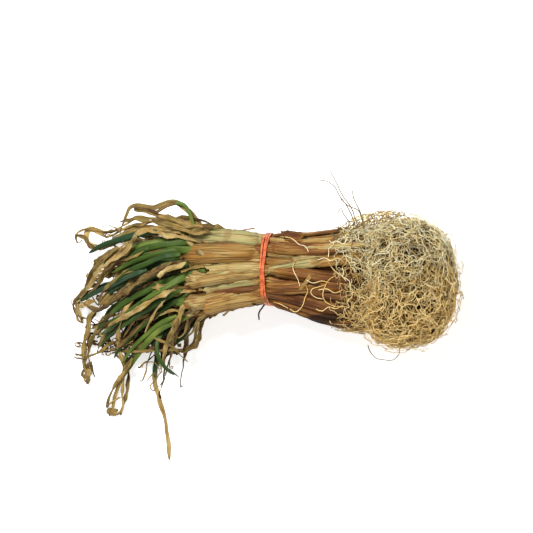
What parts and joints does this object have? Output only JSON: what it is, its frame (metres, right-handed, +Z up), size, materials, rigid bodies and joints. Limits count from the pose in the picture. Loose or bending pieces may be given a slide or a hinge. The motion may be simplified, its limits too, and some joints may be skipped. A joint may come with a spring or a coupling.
{
  "type": "onion transplant bunch",
  "caption": "Bunch of bare-root onion seedlings held at the waist by a rubber band, lying down, with a tangled root ball at one end and drooping leaves at the other.",
  "frame": {"origin": "middle of the footprint's box, on the surface that the bunch lies on", "axes": "+X along the bunch towards the root ball, +Z up, +Y across it, away from the drooping leaves"},
  "size_m": [0.291, 0.2198, 0.0753],
  "materials": {
    "seedling": "fresh plant tissue: pale green to tan papery sheaths, blue-green to straw-coloured leaves",
    "dry_root": "dry straw-coloured roots, matt",
    "rubber_band": "thin orange-red rubber, satin"
  },
  "bodies": {
    "root": {"seedling_01": "seedling", "seedling_02": "seedling", "seedling_03": "seedling", "seedling_04": "seedling", "seedling_05": "seedling", "seedling_06": "seedling", "seedling_07": "seedling", "seedling_08": "seedling", "seedling_09": "seedling", "seedling_10": "seedling", "seedling_11": "seedling", "seedling_12": "seedling", "seedling_13": "seedling", "seedling_14": "seedling", "seedling_15": "seedling", "seedling_16": "seedling", "seedling_17": "seedling", "seedling_18": "seedling", "seedling_19": "seedling", "seedling_20": "seedling", "seedling_21": "seedling", "seedling_22": "seedling", "seedling_23": "seedling", "seedling_24": "seedling", "seedling_25": "seedling", "seedling_26": "seedling", "seedling_27": "seedling", "seedling_28": "seedling", "seedling_29": "seedling", "seedling_30": "seedling", "seedling_31": "seedling", "seedling_32": "seedling", "seedling_33": "seedling", "seedling_34": "seedling", "seedling_35": "seedling", "seedling_36": "seedling", "seedling_37": "seedling", "root_tangle": "dry_root", "rubber_band": "rubber_band"}
  },
  "joints": []
}
